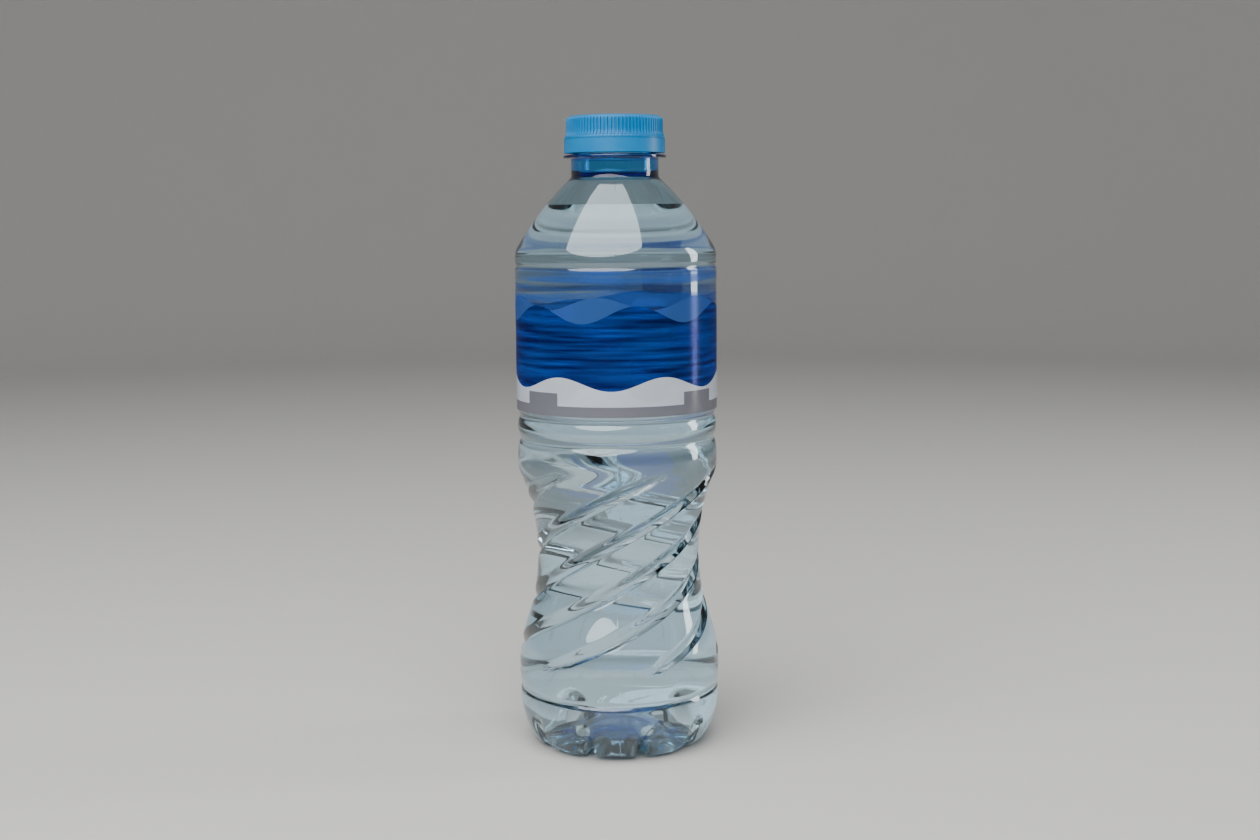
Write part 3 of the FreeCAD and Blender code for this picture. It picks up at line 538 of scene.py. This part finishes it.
def blown_pet():
    """Stretch-blown PET with a blue tint. Thin walls look clear, and the thick neck and edges deep blue.
    Blowing leaves the wall slightly wavy, and the mould's halves leave a fine line down the front."""
    material, tree = new_material("blown PET")
    place = node(tree, "TexCoord").outputs["Object"]
    waves = node(tree, "TexNoise", {"Vector": place, "Scale": 1 / (14 * MM), "Detail": 1.5})
    axes = node(tree, "SeparateXYZ", {"Vector": place})
    aside = node(tree, "Math", {0: axes.outputs["X"]}, operation="ABSOLUTE")
    seam = node(tree, "MapRange", {"Value": aside, "From Min": 0.0, "From Max": 0.45 * MM,
                                   "To Min": 1.2, "To Max": 0.0}, interpolation_type="SMOOTHSTEP")
    relief = node(tree, "Math", {0: waves, 1: seam}, operation="ADD")
    bump = node(tree, "Bump", {"Height": relief, "Strength": 0.12, "Distance": 0.25 * MM})
    shader = node(tree, "BsdfPrincipled", {
        "Base Color": colour("#FFFFFF"), "Roughness": 0.01, "IOR": 1.575, "Transmission Weight": 1.0,
        "Normal": bump})
    tint = node(tree, "VolumeAbsorption", {"Color": colour("#00DAFE"), "Density": 720.0})
    node(tree, "OutputMaterial", {"Surface": shader, "Volume": tint})
    return material


def still_water():
    """Mineral water. It looks clear and colourless, and acts as a lens for whatever lies behind it."""
    material, tree = new_material("mineral water")
    shader = node(tree, "BsdfPrincipled", {
        "Base Color": colour("#FFFFFF"), "Roughness": 0.0, "IOR": 1.333, "Transmission Weight": 1.0})
    tint = node(tree, "VolumeAbsorption", {"Color": colour("#AAE7FF"), "Density": 2.0})
    node(tree, "OutputMaterial", {"Surface": shader, "Volume": tint})
    return material


def moulded_polyethylene():
    """Injection-moulded HDPE, coloured through. It looks waxy: a broad soft sheen over a bright azure.
    The mould's fine grain is drawn at 0.35 mm, coarser than it is, so that it shows. The flow of the melt
    shades the colour every 9 mm or so."""
    material, tree = new_material("moulded polyethylene")
    place = node(tree, "TexCoord").outputs["Object"]
    grain = node(tree, "TexNoise", {"Vector": place, "Scale": 1 / (0.35 * MM), "Detail": 3.0})
    flow = node(tree, "TexNoise", {"Vector": place, "Scale": 1 / (9 * MM), "Detail": 2.0})
    shade = node(tree, "ValToRGB", {"Fac": flow})
    shade.color_ramp.elements[0].position = 0.3
    shade.color_ramp.elements[0].color = colour("#006FAA")
    shade.color_ramp.elements[1].position = 0.7
    shade.color_ramp.elements[1].color = colour("#0077B2")
    bump = node(tree, "Bump", {"Height": grain, "Strength": 0.25, "Distance": 0.05 * MM})
    gloss = node(tree, "MapRange", {"Value": grain, "To Min": 0.3, "To Max": 0.42})
    shader = node(tree, "BsdfPrincipled", {
        "Base Color": shade, "Roughness": gloss, "Specular IOR Level": 0.3, "Subsurface Weight": 0.05,
        "Subsurface Radius": (0.2, 0.6, 1.0), "Subsurface Scale": 1.0 * MM, "Normal": bump})
    node(tree, "OutputMaterial", {"Surface": shader})
    return material


# The print: two rows of even hills and a swell under them, each a plain sine line round the label.
# The middle height and the rise of each are shares of the label's height; the shift is in radians.
HILLS = 6
FAR_HILLS = (0.775, 0.045, 2.6)
NEAR_HILLS = (0.7, 0.06, 0.4)
SWELL = (0.225, 0.045, -1.3)
# the grey strip at the foot and the two plain blocks on it, which start and end at shares of a turn
STRIP_HEIGHT = 0.072
BLOCKS = [(0.34, 0.405), (0.612, 0.68)]
BLOCK_TOP = 0.16
# Size in millimetres of the bright and dark bands painted into the near hills' blue ink. They are painted
# light, standing for light caught along the film, not ink. In the haze over the hills the same noise is 1 /
# HAZE_FINENESS times as large.
STREAK_LENGTH = 26.3
STREAK_HEIGHT = 1.316
HAZE_FINENESS = 0.45


def print_masks(tree, axes):
    """Where the inks lie, each 1 where its ink is: the near hills, the swell, the strip with its blocks,
    all the pale inks together, and all the inks together."""
    # shares of a whole turn, from the back round to the back, so that 0.5 is the front, and of the height
    forward = node(tree, "Math", {0: axes.outputs["Y"], 1: -1.0}, operation="MULTIPLY")
    bearing = node(tree, "Math", {0: axes.outputs["X"], 1: forward}, operation="ARCTAN2")
    turn = node(tree, "MapRange", {"Value": bearing, "From Min": -math.pi, "From Max": math.pi})
    rise = node(tree, "MapRange", {
        "Value": axes.outputs["Z"], "From Min": LABEL_LOW * MM, "From Max": LABEL_HIGH * MM})
    phase = node(tree, "Math", {0: turn, 1: 2 * math.pi * HILLS}, operation="MULTIPLY")
    masks = []
    for middle, swing, shift in (FAR_HILLS, NEAR_HILLS, SWELL):
        shifted = node(tree, "Math", {0: phase, 1: shift}, operation="ADD")
        wave = node(tree, "Math", {0: shifted}, operation="SINE")
        line_height = node(tree, "Math", {0: wave, 1: swing, 2: middle}, operation="MULTIPLY_ADD")
        masks.append(node(tree, "Math", {0: line_height, 1: rise}, operation="GREATER_THAN"))
    far, near, swell = masks
    strip = node(tree, "Math", {0: rise, 1: STRIP_HEIGHT}, operation="LESS_THAN")
    for start, end in BLOCKS:
        middle, half_width = (start + end) / 2, (end - start) / 2
        beside = node(tree, "Math", {0: turn, 1: middle, 2: half_width}, operation="COMPARE")
        under = node(tree, "Math", {0: rise, 1: BLOCK_TOP}, operation="LESS_THAN")
        block = node(tree, "Math", {0: beside, 1: under}, operation="MULTIPLY")
        strip = node(tree, "Math", {0: strip, 1: block}, operation="MAXIMUM")
    pale = node(tree, "Math", {0: swell, 1: strip}, operation="MAXIMUM")
    hills = node(tree, "Math", {0: far, 1: near}, operation="MAXIMUM")
    inked = node(tree, "Math", {0: hills, 1: pale}, operation="MAXIMUM")
    return near, swell, strip, pale, inked


def printed_film():
    """Polypropylene film, reverse-printed with hills over a pale swell and clear above the hills.
    The film is glossy and slightly creased. The blue ink lets some light through, as a filter would."""
    material, tree = new_material("printed polypropylene film")
    place = node(tree, "TexCoord").outputs["Object"]
    axes = node(tree, "SeparateXYZ", {"Vector": place})
    near, swell, strip, pale, inked = print_masks(tree, axes)

    # the inks, each laid over the ones before it
    stretch = (1 / (STREAK_LENGTH * MM), 1 / (STREAK_LENGTH * MM), 1 / (STREAK_HEIGHT * MM))
    stretched = node(tree, "Mapping", {"Vector": place, "Scale": stretch})
    # painted light: this noise lays bright and dark bands over the near hills' blue ink below. The blue is
    # the ink's own colour, and the bands stand for light caught along the film.
    painted_light_streaks = node(tree, "TexNoise", {"Vector": stretched, "Scale": 1.0, "Detail": 3.0})
    ink = node(tree, "ValToRGB", {"Fac": painted_light_streaks})
    ink.color_ramp.elements[0].position = 0.36
    ink.color_ramp.elements[0].color = colour("#02185C")
    ink.color_ramp.elements[1].position = 0.68
    ink.color_ramp.elements[1].color = colour("#1266CC")
    printed = colour("#3A78D0")
    inks = [(inked, colour("#4E86CE")), (near, ink), (swell, colour("#E0E7F0")), (strip, colour("#85858E"))]
    for mask, shade in inks:
        printed = node(tree, "MixRGB", {"Fac": mask, "Color1": printed, "Color2": shade})

    # how much of the light each face of the film stops: little where clear, most under the pale inks
    sky = node(tree, "TexNoise", {
        "Vector": stretched, "Scale": HAZE_FINENESS, "Detail": 2.0, "Distortion": 0.4})
    haze = node(tree, "MapRange", {"Value": sky, "From Min": 0.47, "From Max": 0.68, "To Max": 0.34})
    clear_cover = node(tree, "Math", {0: haze, 1: 0.02}, operation="ADD")
    pale_cover = node(tree, "Math", {0: pale, 1: 0.38}, operation="MULTIPLY")
    ink_cover = node(tree, "Math", {0: inked, 1: 0.42, 2: pale_cover}, operation="MULTIPLY_ADD")
    cover = node(tree, "Math", {0: ink_cover, 1: clear_cover}, operation="MAXIMUM")

    # the light that gets through is blue where the blue ink or the haze is
    blue = node(tree, "Math", {0: inked, 1: pale}, operation="SUBTRACT")
    tinted = node(tree, "Math", {0: haze, 1: blue}, operation="MAXIMUM")
    filtered = node(tree, "MixRGB", {"Fac": tinted, "Color1": colour("#FFFFFF"), "Color2": colour("#4A94F4")})
    crease = node(tree, "TexNoise", {"Vector": place, "Scale": 1 / (11 * MM), "Detail": 2.0})
    bump = node(tree, "Bump", {"Height": crease, "Strength": 0.15, "Distance": 0.2 * MM})
    film = node(tree, "BsdfPrincipled", {
        "Base Color": printed, "Roughness": 0.18, "IOR": 1.49, "Normal": bump})
    glow = node(tree, "BsdfTranslucent", {"Color": printed})
    lit = node(tree, "MixShader", {"Fac": 0.35, 1: film, 2: glow})
    through = node(tree, "BsdfTransparent", {"Color": filtered})
    both = node(tree, "MixShader", {"Fac": cover, 1: through, 2: lit})
    node(tree, "OutputMaterial", {"Surface": both})
    return material


def dressed(piece, material):
    piece.data.materials.clear()
    piece.data.materials.append(material)
    return piece


# ---------------------------------------------------------------- the pieces
pet = dressed(make_bottle(), blown_pet())
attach(pet, "bottle")
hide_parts("bottle")

water = dressed(make_water(), still_water())
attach(water, "bottle")
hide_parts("water")

label = dressed(make_label(), printed_film())
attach(label, "bottle")
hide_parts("label")

polyethylene = moulded_polyethylene()
cap = dressed(make_cap(), polyethylene)
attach(cap, "cap")
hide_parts("cap")
dressed(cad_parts["tamper_band"], polyethylene)


# ---------------------------------------------------------------- stage, light and camera
FLOOR_REACH = 1500.0
COVE_SWEEP = 900.0
WALL_TOP = 2600.0


def make_stage():
    """A pale floor that sweeps up into a round wall, the same from every side."""
    outline = np.vstack([
        line((60, 0), (FLOOR_REACH, 0), 120),
        arc((FLOOR_REACH, COVE_SWEEP), COVE_SWEEP, -90, 0, 70)[1:],
        line((FLOOR_REACH + COVE_SWEEP, COVE_SWEEP), (FLOOR_REACH + COVE_SWEEP, WALL_TOP), 200)[1:]])
    across = STAGE_COLUMNS
    turns = np.radians(np.arange(across) * 360 / across)
    points = [(r * math.sin(t), -r * math.cos(t), z) for r, z in outline for t in turns]
    points.append((0, 0, 0))
    faces = []
    for i in range(len(outline) - 1):
        for j in range(across):
            k = (j + 1) % across
            faces.append((i * across + j, (i + 1) * across + j, (i + 1) * across + k, i * across + k))
    faces += [(len(points) - 1, j, (j + 1) % across) for j in range(across)]
    floor = piece_from("studio_floor", points, faces)
    material, tree = new_material("matt floor paper")
    shader = node(tree, "BsdfPrincipled", {"Base Color": colour("#C9C8C5"), "Roughness": 0.75})
    node(tree, "OutputMaterial", {"Surface": shader})
    dressed(floor, material)


def softbox(name, place, width, height, watts):
    """A soft oval lamp that faces the middle of the bottle."""
    data = bpy.data.lights.new(name, "AREA")
    data.shape = "ELLIPSE"
    data.size = width * MM
    data.size_y = height * MM
    data.energy = watts
    lamp = bpy.data.objects.new(name, data)
    lamp.location = Vector(place) * MM
    aim = Vector((0, 0, 100)) - Vector(place)
    lamp.rotation_euler = aim.to_track_quat("-Z", "Y").to_euler()
    bpy.context.scene.collection.objects.link(lamp)


make_stage()
softbox("front_softbox", (-200, -560, 880), 1300, 1750, 27.0)
softbox("right_strip", (1000, 160, 330), 240, 800, 4.0)

world = bpy.data.worlds.new("studio_air")
world.use_nodes = True
world.node_tree.nodes["Background"].inputs["Color"].default_value = colour("#C8CCD2")
world.node_tree.nodes["Background"].inputs["Strength"].default_value = 0.22
bpy.context.scene.world = world

CAMERA_PLACE = (4.2, -551.0, 173.4)
CAMERA_PITCH = -6.97
CAMERA_ROLL = -0.48

camera_data = bpy.data.cameras.new("camera")
camera_data.lens = 48.6
camera_data.sensor_width = 36.0
camera_data.clip_start = 0.02
camera_data.clip_end = 50.0
camera = bpy.data.objects.new("camera", camera_data)
camera.location = Vector(CAMERA_PLACE) * MM
tilt = Euler((math.radians(90 + CAMERA_PITCH), 0, 0)).to_matrix()
roll = Euler((0, 0, math.radians(CAMERA_ROLL))).to_matrix()
camera.rotation_euler = (tilt @ roll).to_euler()
bpy.context.scene.collection.objects.link(camera)
bpy.context.scene.camera = camera
